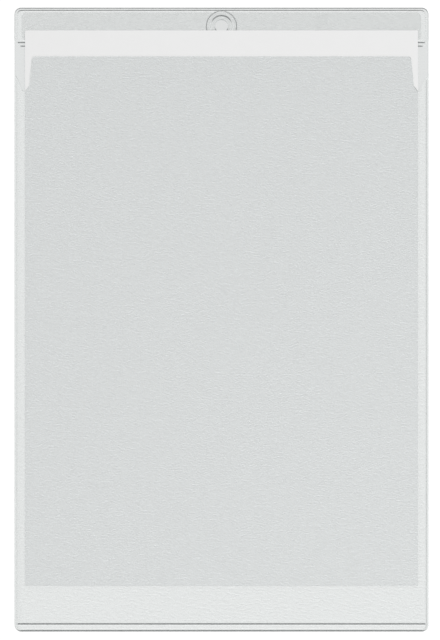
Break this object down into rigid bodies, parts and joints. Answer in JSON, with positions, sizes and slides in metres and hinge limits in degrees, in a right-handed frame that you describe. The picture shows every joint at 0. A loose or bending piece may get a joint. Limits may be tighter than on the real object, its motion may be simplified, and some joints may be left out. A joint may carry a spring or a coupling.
{
  "type": "hanging document sleeve",
  "caption": "Clear plastic hanging sleeve with a paper sheet in its pocket, a stiffened header with a punched hanging hole, and a notch at each end of the pocket's mouth.",
  "frame": {"origin": "under the middle of the sleeve, on the surface that its back lies on", "axes": "+Z out of the front, +Y towards the header with the hanging hole, +X to the right seen from the front"},
  "size_m": [0.2214, 0.3334, 0.0014],
  "materials": {
    "back_film": "clear smooth vinyl film",
    "front_film": "clear vinyl film with a fine pressed grain",
    "header_film": "clear vinyl film with a fine pressed grain",
    "stiffener_plastic": "translucent pale grey strip",
    "paper": "plain uncoated white"
  },
  "bodies": {
    "root": {"back_sheet": "back_film", "front_sheet": "front_film", "header_strip": "header_film", "header_stiffener": "stiffener_plastic", "insert_sheet": "paper"}
  },
  "joints": []
}
